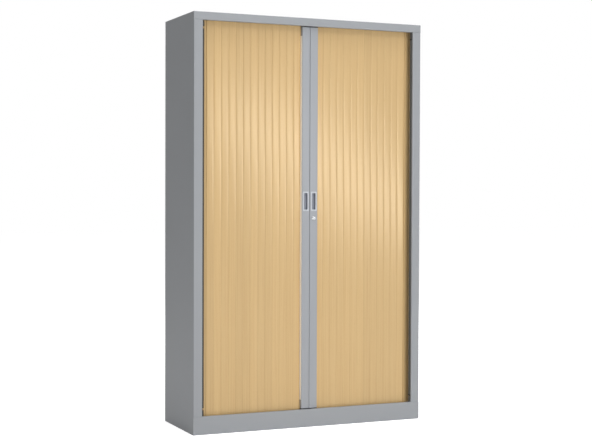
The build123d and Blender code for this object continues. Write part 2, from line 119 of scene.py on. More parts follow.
def colour(label, description, code):
    return FloatVectorProperty(
        name=label, description=description, default=linear(code), subtype="COLOR", min=0, max=1
    )


class CurtainSettings(PropertyGroup):
    gap: size("Joint gap", "Open line between two slats", 0.3 * MM)
    front_radius: size("Front radius", "Rounding of a slat's front edges", 0.4 * MM)
    rear_radius: size("Rear radius", "Rounding of a slat's rear edges", 0.6 * MM)
    crown: size("Crown", "How far the middle of a slat stands proud of its edges", 0.2 * MM)
    pivot_inset: size("Pivot inset", "Hinge bead centre, from the slat's near edge line", 2.8 * MM)
    pivot_depth: size("Pivot depth", "Hinge bead centre, from the slat's front", 6.2 * MM)
    bead_radius: size("Bead radius", "Round bead along a slat's far edge", 1.5 * MM)
    neck: size("Neck", "Thickness of the web that carries the bead", 1.4 * MM)
    socket_radius: size("Socket radius", "Groove that takes the neighbour's bead", 1.9 * MM)
    mouth: size("Mouth", "Half height of the groove's mouth", 1.1 * MM)
    tenon_width: size("Tenon width", "End tongue that rides in the track", 18.0 * MM)
    tenon_thickness: size("Tenon thickness", "Depth of the end tongue", 6.0 * MM)
    beech: colour("Beech", "Main tone of the beech foil", "#CBAD7D")
    grain: colour("Grain", "Darker late wood in the foil", "#BE9C6A")
    lacquer: colour("Lacquer", "Tint of the lacquer's sheen", "#FFEFD4")
    grain_width: size("Grain width", "Spacing of the grain lines across a slat", 3.0 * MM)
    grain_length: size("Grain length", "Length of the grain lines along a slat", 454.5 * MM)
    fleck_width: size("Fleck width", "Spacing of the dark flecks across a slat", 1.25 * MM)
    fleck_length: size("Fleck length", "Length of the dark flecks along a slat", 14.286 * MM)
    seed: IntProperty(name="Seed", description="Fixes the tone of each slat", default=7)


class CarcassSettings(PropertyGroup):
    silver: colour("Silver", "Powder coat of the carcass", "#9B9EA2")
    rail_silver: colour("Rail silver", "Powder coat of the leading rails", "#9FA2A7")
    orange_peel: size("Orange peel", "Wavelength of the coat's faint ripple", 2.5 * MM)
    tone_drift: size("Tone drift", "Size of the patches over which the coat's tone drifts", 625.0 * MM)
    slot_pitch: size("Slot pitch", "Spacing of the slots in the shelf strips", 32.0 * MM)
    slot_width: size("Slot width", "Width of one slot", 4.0 * MM)
    slot_height: size("Slot height", "Height of one slot", 10.0 * MM)
    strip_wall: size("Strip wall", "Sheet thickness of the shelf strips", 1.5 * MM)
    rivet_diameter: size("Rivet diameter", "Blind rivet heads along the back", 7.0 * MM)
    rivet_height: size("Rivet height", "How far a rivet head stands out", 0.9 * MM)
    rivet_pitch: size("Rivet pitch", "Spacing of the rivets along the back", 190.0 * MM)
    screw_diameter: size("Screw diameter", "Pan heads that hold the strips", 8.0 * MM)
    screw_height: size("Screw height", "How far a screw head stands out", 1.5 * MM)


class FittingSettings(PropertyGroup):
    cup_grey: colour("Cup grey", "Flange of the moulded handle cups", "#BCC0C6")
    # Painted shade: the darker grey inside each finger recess
    recess_shade_grey: colour("Recess grey", "Painted shade over the grain inside the handle cups", "#868A94")
    recess_width: size("Recess width", "Width of a handle's finger recess", 18.0 * MM)
    recess_height: size("Recess height", "Height of a handle's finger recess", 80.0 * MM)
    cup_wall: size("Cup wall", "Wall round the recess", 1.7 * MM)
    cup_corner: size("Cup corner", "Corner radius of flange and recess", 3.0 * MM)
    cup_edge: size("Cup edge", "Rounding of the cup's flange", 0.7 * MM)
    cup_lip: size("Cup lip", "Rounding of the edge into the recess", 1.2 * MM)
    cup_foot: size("Cup foot", "Rounding at the bottom of the recess", 2.5 * MM)
    rosette_dome: size("Rosette dome", "Fall of the lock rosette from its middle to its rim", 1.7 * MM)
    rosette_flat: size("Rosette flat", "Radius of the flat round the lock plug", 7.6 * MM)
    plug_gap: size("Plug gap", "Open ring round the lock plug", 0.3 * MM)
    rail_round: size("Rail rounding", "Corner radius of the leading rails", 3.0 * MM)
    # Painted highlight: a near-white strip down each leading rail, for the glint along its edge
    highlight_cream: colour("Highlight strip", "Painted highlight strip down the outer side of a leading rail", "#FFFBF2")
    highlight_strip_thickness: size("Trim thickness", "How far the highlight strip's front edge stands out", 0.35 * MM)
    highlight_strip_inset: size("Trim inset", "Rail left bare at each end, for the end buffers", 42.0 * MM)
    highlight_strip_flare: size("Trim flare", "How much further out the highlight strip's rear edge stands", 2.5 * MM)
    # Painted shade: a near-black strip down each side of the opening, for the shadow between upright and curtain
    shade_strip_black: colour("Shade strip", "Painted shade down each side of the opening", "#423F39")
    shade_strip_width: size("Seal width", "How far a jamb shade strip reaches into the opening", 10.0 * MM)
    shade_strip_thickness: size("Seal thickness", "Thickness of a jamb shade strip", 2.5 * MM)
    shade_strip_lead: size("Seal lead", "Middle of a jamb shade strip, in front of the rail's face", 5.5 * MM)
    track_black: colour("Track", "Extruded curtain track", "#2A2A2C")
    nickel: colour("Nickel", "Plated lock", "#949697")
    zinc: colour("Zinc", "Plated feet, clips and screws", "#B9BCC0")
    rubber: colour("Rubber", "End buffers", "#1D1D1E")


class StageSettings(PropertyGroup):
    floor_size: size("Floor size", "Side of the square floor", 60.0)
    shadow_reach: size("Shadow reach", "Distance at which the floor begins to turn plain white", 1.5)
    floor_white: colour("Floor white", "Matt white of the floor", "#E7E7E7")
    floor_glow: FloatProperty(
        name="Floor glow", description="Glow of the floor near by", default=0.78, min=0, max=1
    )
    key: watts("Key", "Softbox left of the front", 138)
    top: watts("Top", "Softbox over the front", 106)
    overhead: watts("Overhead", "Large softbox above", 300)
    low: watts("Low", "Flat softbox near the floor", 68)
    strip: watts("Strip", "Long light that gives the sheen", 50)
    back: watts("Back", "Softbox behind", 130)
    side: watts("Side", "Softbox right of the side wall", 90)


GROUPS = {
    "curtain_look": CurtainSettings,
    "carcass_look": CarcassSettings,
    "fitting_look": FittingSettings,
    "stage_look": StageSettings,
}


# Nodes and materials


def add_node(tree, kind, inputs=None, **settings):
    """Add one node: settings are its own properties, and inputs its sockets by name or number.
    Each input is a value, a socket to link from, a node whose first output is linked, or a list
    of such sources."""
    node = tree.nodes.new(kind)
    for name, value in settings.items():
        setattr(node, name, value)
    for key, value in (inputs or {}).items():
        for source in value if isinstance(value, list) else [value]:
            if isinstance(source, bpy.types.Node):
                source = source.outputs[0]
            if isinstance(source, bpy.types.NodeSocket):
                tree.links.new(source, node.inputs[key])
            else:
                node.inputs[key].default_value = source
    return node


def new_material(name):
    """An empty material, its tree and the place on the object."""
    material = bpy.data.materials.new(name)
    material.use_nodes = True
    tree = material.node_tree
    tree.nodes.clear()
    return material, tree, add_node(tree, "ShaderNodeTexCoord").outputs["Object"]


def rgba(values):
    return (*values, 1.0)


def shades(base, spread):
    """A darker and a lighter shade of a colour."""
    return [rgba([v * share for v in base]) for share in (1 - spread, 1 + spread)]


def finish_surface(tree, inputs):
    """Close a material with one Principled shader."""
    shader = add_node(tree, "ShaderNodeBsdfPrincipled", inputs)
    add_node(tree, "ShaderNodeOutputMaterial", {"Surface": shader})


def powder_coat(name, look, silver, roughness, gloss):
    """Sprayed and baked polyester powder on steel sheet: satin, with the shallow ripple called
    orange peel and a tone that drifts a little over a large panel."""
    material, tree, place = new_material(name)
    ripple, drift = [
        add_node(tree, "ShaderNodeTexNoise", {"Vector": place, "Scale": 1 / length, "Detail": detail})
        for length, detail in ((look.orange_peel, 2.0), (look.tone_drift, 1.0))
    ]
    dark, light = shades(silver, 0.03)
    tone = add_node(tree, "ShaderNodeMix", {0: drift, 6: dark, 7: light}, data_type="RGBA")
    relief = add_node(tree, "ShaderNodeBump", {"Height": ripple, "Strength": 0.3, "Distance": 0.04 * MM})
    finish_surface(
        tree,
        {
            "Base Color": tone.outputs[2],
            "Normal": relief,
            "Roughness": roughness,
            "IOR": 1.5,
            "Specular IOR Level": gloss,
        },
    )
    return material


def beech_foil(look):
    """Printed beech foil sealed over the slats: satin lacquer on fine straight grain, with the
    short dark flecks of beech. The grain is drawn a little coarser than the real print, and each
    slat has a tone of its own."""
    material, tree, place = new_material("beech foil")
    # Grain, then flecks: width, length, detail, the levels between which they darken and how far
    patterns = (
        (look.grain_width, look.grain_length, 3.0, 0.35, 0.75, 0.55),
        (look.fleck_width, look.fleck_length, 1.0, 0.62, 0.75, 0.35),
    )
    marks = []
    for width, length, detail, start, full, share in patterns:
        scale = (1 / width, 1 / width, 1 / length)
        drawn = add_node(tree, "ShaderNodeMapping", {"Vector": place, "Scale": scale})
        pattern = add_node(tree, "ShaderNodeTexNoise", {"Vector": drawn, "Scale": 1.0, "Detail": detail})
        levels = {"Value": pattern, "From Min": start, "From Max": full, "To Max": share}
        marks.append(add_node(tree, "ShaderNodeMapRange", levels))
    grain, flecks = marks
    both = add_node(tree, "ShaderNodeMath", {0: grain, 1: flecks}, operation="ADD", use_clamp=True)
    board = add_node(tree, "ShaderNodeAttribute", attribute_name="board_tone").outputs["Fac"]
    light = add_node(tree, "ShaderNodeMapRange", {"Value": board, "To Min": 0.965, "To Max": 1.035})
    colours = {0: both, 6: rgba(look.beech), 7: rgba(look.grain)}
    wood = add_node(tree, "ShaderNodeMix", colours, data_type="RGBA").outputs[2]
    toned = add_node(tree, "ShaderNodeVectorMath", {0: wood, "Scale": light}, operation="SCALE")
    depth = {"Height": both, "Strength": 0.15, "Distance": 0.05 * MM}
    finish_surface(
        tree,
        {
            "Base Color": toned,
            "Normal": add_node(tree, "ShaderNodeBump", depth, invert=True),
            "Roughness": 0.2,
            "IOR": 1.5,
            "Specular Tint": rgba(look.lacquer),
        },
    )
    return material


def moulded_plastic(name, base, roughness, grit):
    """Injection-moulded or extruded plastic with the fine spark-eroded grain of its tool, drawn
    coarser than the real one so that it shows."""
    material, tree, place = new_material(name)
    texture = add_node(tree, "ShaderNodeTexNoise", {"Vector": place, "Scale": 1 / grit, "Detail": 3.0})
    relief = add_node(tree, "ShaderNodeBump", {"Height": texture, "Strength": 0.25, "Distance": 0.05 * MM})
    dark, light = shades(base, 0.06)
    tone = add_node(tree, "ShaderNodeMix", {0: texture, 6: dark, 7: light}, data_type="RGBA")
    finish_surface(
        tree, {"Base Color": tone.outputs[2], "Normal": relief, "Roughness": roughness, "IOR": 1.5}
    )
    return material


def plated_metal(name, base, roughness, grit):
    """Electroplated steel or zinc casting: metallic, slightly uneven in its polish."""
    material, tree, place = new_material(name)
    wear = add_node(tree, "ShaderNodeTexNoise", {"Vector": place, "Scale": 1 / grit, "Detail": 4.0})
    levels = {"Value": wear, "To Min": roughness * 0.75, "To Max": roughness * 1.25}
    polish = add_node(tree, "ShaderNodeMapRange", levels)
    relief = add_node(tree, "ShaderNodeBump", {"Height": wear, "Strength": 0.1, "Distance": 0.02 * MM})
    finish_surface(
        tree, {"Base Color": rgba(base), "Roughness": polish, "Normal": relief, "Metallic": 1.0}
    )
    return material


def paint_nodes(material, names):
    """Give CAD parts a finish."""
    for name in names:
        mesh = frame["nodes"][name].data
        mesh.materials.clear()
        mesh.materials.append(material)


# Geometry Nodes


def block(tree, size, centre):
    """A box, from its sizes and its centre along X, Y and Z."""
    sides, place = [add_node(tree, "ShaderNodeCombineXYZ", dict(zip("XYZ", v))) for v in (size, centre)]
    box = add_node(tree, "GeometryNodeMeshCube", {"Size": sides})
    return add_node(tree, "GeometryNodeTransform", {"Geometry": box, "Translation": place})


def new_tree(name, sizes, counts=()):
    """A Geometry Nodes tree that takes points to place copies on, named sizes and counts, a seed
    and a material."""
    tree = bpy.data.node_groups.new(name, "GeometryNodeTree")
    tree.interface.new_socket("Geometry", in_out="INPUT", socket_type="NodeSocketGeometry")
    tree.interface.new_socket("Geometry", in_out="OUTPUT", socket_type="NodeSocketGeometry")
    kinds = {**dict.fromkeys(sizes, "Float"), **dict.fromkeys((*counts, "Seed"), "Int")}
    for label, kind in {**kinds, "Material": "Material"}.items():
        tree.interface.new_socket(label, in_out="INPUT", socket_type=f"NodeSocket{kind}")
    return tree, add_node(tree, "NodeGroupInput").outputs


def place_copies(tree, given, piece):
    """End a tree: one copy on each point, turned about the vertical, made real and finished."""
    turn = add_node(tree, "GeometryNodeInputNamedAttribute", {"Name": "turn"}, data_type="FLOAT")
    rotation = add_node(tree, "FunctionNodeAxisAngleToRotation", {"Axis": (0, 0, 1), "Angle": turn})
    copies = add_node(
        tree,
        "GeometryNodeInstanceOnPoints",
        {"Points": given["Geometry"], "Instance": piece, "Rotation": rotation},
    )
    tone = add_node(tree, "FunctionNodeRandomValue", {8: given["Seed"]}, data_type="FLOAT")
    toned = add_node(
        tree,
        "GeometryNodeStoreNamedAttribute",
        {"Geometry": copies, "Name": "board_tone", "Value": tone.outputs[1]},
        data_type="FLOAT",
        domain="INSTANCE",
    )
    real = add_node(tree, "GeometryNodeRealizeInstances", {"Geometry": toned})
    finished = add_node(
        tree, "GeometryNodeSetMaterial", {"Geometry": real, "Material": given["Material"]}
    )
    add_node(tree, "NodeGroupOutput", {0: finished})


def grow(name, tree, places, values):
    """Run a tree on places, each a point and a turn, and keep the result as a plain closed mesh
    at the origin."""
    seeds = bpy.data.meshes.new(name)
    seeds.from_pydata([tuple(point) for point, _ in places], [], [])
    turns = seeds.attributes.new("turn", "FLOAT", "POINT")
    turns.data.foreach_set("value", [turn for _, turn in places])
    piece = bpy.data.objects.new(name, seeds)
    bpy.context.scene.collection.objects.link(piece)
    modifier = piece.modifiers.new("Shape", "NODES")
    modifier.node_group = tree
    for item in tree.interface.items_tree:
        if item.in_out == "INPUT" and item.name in values:
            modifier[item.identifier] = values[item.name]
    graph = bpy.context.evaluated_depsgraph_get()
    mesh = bpy.data.meshes.new_from_object(piece.evaluated_get(graph))
    piece.modifiers.clear()
    piece.data = mesh
    smooth(mesh)
    return piece


def smooth(mesh, angle=30):
    """Point the faces outwards, and shade softly up to an edge angle in degrees."""
    form = bmesh.new()
    form.from_mesh(mesh)
    bmesh.ops.remove_doubles(form, verts=form.verts, dist=WELD)
    bmesh.ops.recalc_face_normals(form, faces=form.faces)
    form.to_mesh(mesh)
    form.free()
    mesh.shade_smooth()
    mesh.set_sharp_from_angle(angle=math.radians(angle))


def slat_tree():
    """A slat about its own middle: crowned front on Y = 0, bead on +X, socket on -X, and a
    tenon at each end. Hand -1 mirrors it for the other curtain."""
    sizes = (
        "Width", "Thickness", "Length", "Front Radius", "Rear Radius", "Crown", "Bead Offset",
        "Bead Depth", "Bead Radius", "Neck", "Socket Offset", "Socket Radius", "Mouth",
        "Tenon Width", "Tenon Thickness", "Tenon Length", "Tenon Shift", "Hand",
    )
    tree, given = new_tree("Tambour slat", sizes)

    outline = {"Width": given["Width"], "Height": given["Thickness"]}
    rectangle = add_node(tree, "GeometryNodeCurvePrimitiveQuadrilateral", outline)
    position = add_node(tree, "GeometryNodeInputPosition")
    part = add_node(tree, "ShaderNodeSeparateXYZ", {0: position}).outputs
    is_front = add_node(tree, "FunctionNodeCompare", {"A": part["Y"], "B": 0.0}, operation="LESS_THAN")
    radii = {"Switch": is_front, "False": given["Rear Radius"], "True": given["Front Radius"]}
    radius = add_node(tree, "GeometryNodeSwitch", radii, input_type="FLOAT")
    rounding = {"Curve": rectangle, "Radius": radius, "Count": 5, "Limit Radius": True}
    rounded = add_node(tree, "GeometryNodeFilletCurve", rounding, mode="POLY")
    divided = add_node(tree, "GeometryNodeSubdivideCurve", {"Curve": rounded, "Cuts": 3})
    # The front falls away as the square of the distance from its middle, by Crown at its edges
    share = add_node(tree, "ShaderNodeMath", {0: part["X"], 1: given["Width"]}, operation="DIVIDE")
    square = add_node(tree, "ShaderNodeMath", {0: share, 1: share}, operation="MULTIPLY")
    full_crown = add_node(tree, "ShaderNodeMath", {0: given["Crown"], 1: 4.0}, operation="MULTIPLY")
    fall = add_node(tree, "ShaderNodeMath", {0: square, 1: full_crown}, operation="MULTIPLY")
    backward = add_node(tree, "ShaderNodeCombineXYZ", {"Y": fall})
    crowning = {"Geometry": divided, "Selection": is_front, "Offset": backward}
    crowned = add_node(tree, "GeometryNodeSetPosition", crowning)
    face = add_node(tree, "GeometryNodeFillCurve", {"Curve": crowned}, mode="NGONS")
    along = add_node(tree, "ShaderNodeCombineXYZ", {"Z": given["Length"]})
    raising = {"Mesh": face, "Offset": along, "Individual": False}
    raised = add_node(tree, "GeometryNodeExtrudeMesh", raising, mode="FACES")
    under = add_node(tree, "GeometryNodeFlipFaces", {"Mesh": face})
    closed = add_node(tree, "GeometryNodeJoinGeometry", {0: [raised, under]})
    welded = add_node(tree, "GeometryNodeMergeByDistance", {"Geometry": closed, "Distance": WELD})
    half_depth = add_node(tree, "ShaderNodeMath", {0: given["Thickness"], 1: 0.5}, operation="MULTIPLY")
    half_down = add_node(tree, "ShaderNodeMath", {0: given["Length"], 1: -0.5}, operation="MULTIPLY")
    centring = add_node(tree, "ShaderNodeCombineXYZ", {"Y": half_depth, "Z": half_down})
    body = add_node(tree, "GeometryNodeTransform", {"Geometry": welded, "Translation": centring})

    # The round socket and the bead: sides, radius, length and place across the slat
    over_long = add_node(tree, "ShaderNodeMath", {0: given["Length"], 1: 2 * MM}, operation="ADD")
    socket_x = add_node(tree, "ShaderNodeMath", {0: given["Socket Offset"], 1: -1.0}, operation="MULTIPLY")
    rounds = []
    for sides, radius, length, x in (
        (20, given["Socket Radius"], over_long, socket_x),
        (16, given["Bead Radius"], given["Length"], given["Bead Offset"]),
    ):
        rod = add_node(
            tree, "GeometryNodeMeshCylinder", {"Vertices": sides, "Radius": radius, "Depth": length}
        )
        place = add_node(tree, "ShaderNodeCombineXYZ", {"X": x, "Y": given["Bead Depth"]})
        rounds.append(add_node(tree, "GeometryNodeTransform", {"Geometry": rod, "Translation": place}))
    socket, bead = rounds

    half_width = add_node(tree, "ShaderNodeMath", {0: given["Width"], 1: 0.5}, operation="MULTIPLY")
    near_edge = add_node(tree, "ShaderNodeMath", {0: given["Width"], 1: -0.5}, operation="MULTIPLY")
    behind_bead = {0: given["Thickness"], 1: given["Bead Depth"]}
    lip = add_node(tree, "ShaderNodeMath", behind_bead, operation="SUBTRACT")
    open_depth = add_node(tree, "ShaderNodeMath", {0: lip, 1: given["Mouth"]}, operation="ADD")
    mouth_y = add_node(tree, "ShaderNodeMath", {0: open_depth, 1: 2.0}, operation="MULTIPLY")
    inset = add_node(
        tree, "ShaderNodeMath", {0: half_width, 1: given["Socket Offset"]}, operation="SUBTRACT"
    )
    mouth_x = add_node(tree, "ShaderNodeMath", {0: inset, 1: 2.0}, operation="MULTIPLY")
    mouth = block(tree, (mouth_x, mouth_y, over_long), (near_edge, given["Thickness"], 0.0))
    grooved = add_node(
        tree,
        "GeometryNodeMeshBoolean",
        {"Mesh 1": body, "Mesh 2": [socket, mouth]},
        operation="DIFFERENCE",
        solver="MANIFOLD",
    )

    reach = add_node(tree, "ShaderNodeMath", {0: given["Bead Offset"], 1: half_width}, operation="SUBTRACT")
    neck_x = add_node(tree, "ShaderNodeMath", {0: reach, 1: 2.0}, operation="MULTIPLY")
    neck = block(
        tree, (neck_x, given["Neck"], given["Length"]), (half_width, given["Bead Depth"], 0.0)
    )
    tenons = block(
        tree,
        (given["Tenon Width"], given["Tenon Thickness"], given["Tenon Length"]),
        (0.0, half_depth, given["Tenon Shift"]),
    )
    whole = add_node(
        tree,
        "GeometryNodeMeshBoolean",
        {"Mesh 2": [grooved, bead, neck, tenons]},
        operation="UNION",
        solver="MANIFOLD",
    )
    scale = add_node(tree, "ShaderNodeCombineXYZ", {"X": given["Hand"], "Y": 1.0, "Z": 1.0})
    handed = add_node(tree, "GeometryNodeTransform", {"Geometry": whole, "Scale": scale})
    place_copies(tree, given, handed)
    return tree


def slat_places(look):
    """Front middle and turn of each right-hand slat: along the front, round the corner and one
    pitch into the side run."""
    y = CURTAIN_FRONT + look.pivot_depth
    start = SLAT_LOW.x - look.gap / 2 + look.pivot_inset
    pivots = [Vector((start + k * SLAT_PITCH, y)) for k in range(FLAT_SLATS + 1)]
    radius = CORNER.y - y
    step = 2 * math.asin(SLAT_PITCH / 2 / radius)
    for k in (1, 2):
        pivots.append(CORNER.xy + radius * Vector((math.sin(k * step), -math.cos(k * step))))
    side_x = CORNER.x + radius
    rise = math.sqrt(SLAT_PITCH**2 - (side_x - pivots[-1].x) ** 2)
    pivots.append(Vector((side_x, pivots[-1].y + rise)))
    to_middle = Vector((SLAT_PITCH / 2 - look.pivot_inset, -look.pivot_depth))
    places = []
    for one, two in zip(pivots, pivots[1:]):
        angle = math.atan2(two.y - one.y, two.x - one.x)
        middle = one + Matrix.Rotation(angle, 2) @ to_middle
        places.append((middle, angle))
    return places


def build_curtain(side, hand, tree, look, material):
    """All slats of one curtain, each on the body that slides or turns it. The flat slats thin
    out as the door opens, so that they stand side by side behind the upright."""
    middle_z = (SLAT_BOTTOM + SLAT_TOP) / 2
    values = {
        "Width": SLAT_PITCH - look.gap,
        "Thickness": SLAT_THICKNESS,
        "Length": SLAT_TOP - SLAT_BOTTOM,
        "Front Radius": look.front_radius,
        "Rear Radius": look.rear_radius,
        "Crown": look.crown,
        "Bead Offset": SLAT_PITCH / 2 + look.pivot_inset,
        "Bead Depth": look.pivot_depth,
        "Bead Radius": look.bead_radius,
        "Neck": look.neck,
        "Socket Offset": SLAT_PITCH / 2 - look.pivot_inset,
        "Socket Radius": look.socket_radius,
        "Mouth": look.mouth,
        "Tenon Width": look.tenon_width,
        "Tenon Thickness": look.tenon_thickness,
        "Tenon Length": SLAT_HIGH.z - SLAT_LOW.z,
        "Tenon Shift": (SLAT_HIGH.z + SLAT_LOW.z) / 2 - middle_z,
        "Hand": float(hand),
        "Material": material,
    }
    places = [(Vector((hand * p.x, p.y, middle_z)), hand * turn) for p, turn in slat_places(look)]
    for number, place in enumerate(places[:FLAT_SLATS], 1):
        node = f"{side}_slat_{number:02d}"
        values["Seed"] = look.seed + hand * number
        slat = grow(f"beech_{node}", tree, [place], values)
        dress(slat, node)
        gather(slat)
    groups = ((f"{side}_corner_slats", places[FLAT_SLATS:-1]), (f"{side}_tail_slat", places[-1:]))
    for node, group in groups:
        values["Seed"] = look.seed + hand * len(node)
        slats = grow(f"beech_{node}", tree, group, values)
        dress(slats, node)


def gather(slat):
    """Give a flat slat a mesh of its own. Squash a flat slat so that, with the door open, it
    stands in its own place in the row of thinned slats between the upright and the side wall.
    """
    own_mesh(slat)


def body_of(node):
    return next(body for body, nodes in frame["record"]["behaviour"]["bodies"].items() if node in nodes)


def dress(piece, node):
    """The piece stands for a CAD node, which it hides, on that node's body."""
    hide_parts(node)
    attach(piece, body_of(node))


def strip_tree():
    """A channel on Z = 0, with its slotted face on X = 0 and its open side on +X."""
    sizes = ("Width", "Depth", "Wall", "Length", "Slot Width", "Slot Height", "Slot Pitch", "First Slot")
    tree, given = new_tree("Slotted strip", sizes, counts=("Slots",))

    outside = add_node(
        tree, "ShaderNodeCombineXYZ", {"X": given["Depth"], "Y": given["Width"], "Z": given["Length"]}
    )
    middle = add_node(tree, "ShaderNodeVectorMath", {0: outside, 1: (0.5, 0, 0.5)}, operation="MULTIPLY")
    both_walls = add_node(tree, "ShaderNodeMath", {0: given["Wall"], 1: -2.0}, operation="MULTIPLY")
    narrower = add_node(tree, "ShaderNodeCombineXYZ", {"Y": both_walls, "Z": 2 * MM})
    inside = add_node(tree, "ShaderNodeVectorMath", {0: outside, 1: narrower})
    one_wall = add_node(tree, "ShaderNodeCombineXYZ", {"X": given["Wall"]})
    behind = add_node(tree, "ShaderNodeVectorMath", {0: middle, 1: one_wall})
    boxes = []
    for size, centre in ((outside, middle), (inside, behind)):
        box = add_node(tree, "GeometryNodeMeshCube", {"Size": size})
        boxes.append(add_node(tree, "GeometryNodeTransform", {"Geometry": box, "Translation": centre}))
    bar, core = boxes

    through = add_node(tree, "ShaderNodeMath", {0: given["Wall"], 1: 4.0}, operation="MULTIPLY")
    slot_size = add_node(
        tree, "ShaderNodeCombineXYZ", {"X": through, "Y": given["Slot Width"], "Z": given["Slot Height"]}
    )
    slot = add_node(tree, "GeometryNodeMeshCube", {"Size": slot_size})
    first = add_node(tree, "ShaderNodeCombineXYZ", {"Z": given["First Slot"]})
    pitch = add_node(tree, "ShaderNodeCombineXYZ", {"Z": given["Slot Pitch"]})
    row = {"Count": given["Slots"], "Start Location": first, "Offset": pitch}
    column = add_node(tree, "GeometryNodeMeshLine", row)
    slots = add_node(tree, "GeometryNodeInstanceOnPoints", {"Points": column, "Instance": slot})
    real_slots = add_node(tree, "GeometryNodeRealizeInstances", {"Geometry": slots})
    strip = add_node(
        tree,
        "GeometryNodeMeshBoolean",
        {"Mesh 1": bar, "Mesh 2": [core, real_slots]},
        operation="DIFFERENCE",
        solver="MANIFOLD",
    )
    place_copies(tree, given, strip)
    return tree


def head_tree():
    """A low head on the plane Y = 0 that faces -Y, with a cross-shaped recess in it."""
    tree, given = new_tree("Fixing head", ("Diameter", "Height", "Recess Length", "Recess Width"))

    # The radii of the flat crest and of the rim, as shares of the diameter
    crest, rim = [
        add_node(tree, "ShaderNodeMath", {0: given["Diameter"], 1: share}, operation="MULTIPLY")
        for share in (0.36, 0.5)
    ]
    cone = {"Vertices": 20, "Radius Top": crest, "Radius Bottom": rim, "Depth": given["Height"]}
    head = add_node(tree, "GeometryNodeMeshCone", cone)
    long, wide, high = given["Recess Length"], given["Recess Width"], given["Height"]
    arms = [block(tree, (x, y, high), (0.0, 0.0, high)) for x, y in ((long, wide), (wide, long))]
    recessed = add_node(
        tree,
        "GeometryNodeMeshBoolean",
        {"Mesh 1": head, "Mesh 2": arms},
        operation="DIFFERENCE",
        solver="MANIFOLD",
    )
    facing = {"Geometry": recessed, "Rotation": (math.radians(90), 0, 0)}
    place_copies(tree, given, add_node(tree, "GeometryNodeTransform", facing))
    return tree


def strip_places():
    """Foot of each slotted strip, at the middle of its face, with its turn."""
    low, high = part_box("slotted_strips")
    inset = STRIP_WIDTH / 2
    return [
        (Vector((hand * STRIP_FACE, y, low.z)), (1 - hand) / 2 * math.pi)
        for _, hand in SIDES
        for y in (low.y + inset, high.y - inset)
    ]


def build_strips(look, material):
    """The four strips, with slots all the way up that meet the shelf clips' tabs."""
    low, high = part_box("slotted_strips")
    clip_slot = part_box("shelf_1")[0].z
    below = math.floor((clip_slot - low.z) / look.slot_pitch - 0.5)
    first = clip_slot - below * look.slot_pitch - low.z
    values = {
        "Width": STRIP_WIDTH,
        "Depth": high.x - STRIP_FACE,
        "Wall": look.strip_wall,
        "Length": high.z - low.z,
        "Slot Width": look.slot_width,
        "Slot Height": look.slot_height,
        "Slot Pitch": look.slot_pitch,
        "First Slot": first,
        "Slots": math.floor((high.z - low.z - first) / look.slot_pitch + 0.5),
        "Material": material,
    }
    strips = grow("shelf_strips", strip_tree(), strip_places(), values)
    dress(strips, "slotted_strips")


def build_fixings(look, material):
    """Pan-head screws that hold the slotted strips, and blind rivets down both edges of the
    back panel. Each screw sits halfway between two slots, and clear of the shelves."""
    tree = head_tree()
    clip_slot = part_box("shelf_1")[0].z
    first, step = clip_slot - SCREW_DROP * look.slot_pitch, SCREW_STEP * look.slot_pitch
    screws = [
        (foot.xy.to_3d() + Vector((0, 0, first + k * step)), turn - math.radians(90))
        for foot, turn in strip_places()
        for k in range(SCREWS)
    ]
    low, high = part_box("back_panel")
    count = math.floor((high.z - low.z) / look.rivet_pitch)
    start = (low.z + high.z - (count - 1) * look.rivet_pitch) / 2
    rivets = [
        (Vector((hand * (high.x - RIVET_INSET), high.y, start + k * look.rivet_pitch)), math.pi)
        for _, hand in SIDES
        for k in range(count)
    ]
    # The last two numbers are the length and width of the recess, as shares of the diameter
    kinds = (
        ("strip_screws", screws, look.screw_diameter, look.screw_height, 0.55, 0.14),
        ("back_rivets", rivets, look.rivet_diameter, look.rivet_height, 0.24, 0.24),
    )
    for name, places, diameter, height, long_share, wide_share in kinds:
        values = {
            "Diameter": diameter,
            "Height": height,
            "Recess Length": long_share * diameter,
            "Recess Width": wide_share * diameter,
            "Material": material,
        }
        heads = grow(name, tree, places, values)
        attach(heads, "carcass")


# Turned, moulded and extruded fittings


def quarter(steps=5):
    """Sine and cosine round a quarter of a circle, from 0 to 90 degrees."""
    angles = [math.radians(90 * k / steps) for k in range(steps + 1)]
    return [(math.sin(a), math.cos(a)) for a in angles]


def skin(name, loops, materials, closed=False, inner=0):
    """A solid through loops of points: its ends are capped, or joined where it is closed. Its
    first inner bands take the second material."""
    form = bmesh.new()
    rows = [[form.verts.new(point) for point in loop] for loop in loops]
    followers = rows[1:] + rows[:1] if closed else rows[1:]
    for number, (one, two) in enumerate(zip(rows, followers)):
        for k in range(len(one)):
            face = form.faces.new((one[k - 1], one[k], two[k], two[k - 1]))
            face.material_index = int(number < inner)
    if not closed:
        form.faces.new(rows[0]).material_index = int(inner > 0)
        form.faces.new(rows[-1])
    mesh = bpy.data.meshes.new(name)
    form.to_mesh(mesh)
    form.free()
    smooth(mesh)
    for material in materials:
        mesh.materials.append(material)
    piece = bpy.data.objects.new(name, mesh)
    bpy.context.scene.collection.objects.link(piece)
    return piece


def rounded_loop(centre, half, radius, y):
    """Points round a rounded rectangle across the Y axis."""
    loop = []
    for turn, (sx, sz) in enumerate(((1, 1), (-1, 1), (-1, -1), (1, -1))):
        for sine, cosine in quarter():
            corner = Matrix.Rotation(math.radians(90 * turn), 2) @ Vector((cosine, sine)) * radius
            x = centre.x + sx * (half[0] - radius) + corner.x
            z = centre.z + sz * (half[1] - radius) + corner.y
            loop.append((x, y, z))
    return loop


def upright_loops(hand, outline, heights):
    """An outline in plan, mirrored for the left hand, at each height."""
    return [[(hand * x, y, z) for x, y in outline] for z in heights]


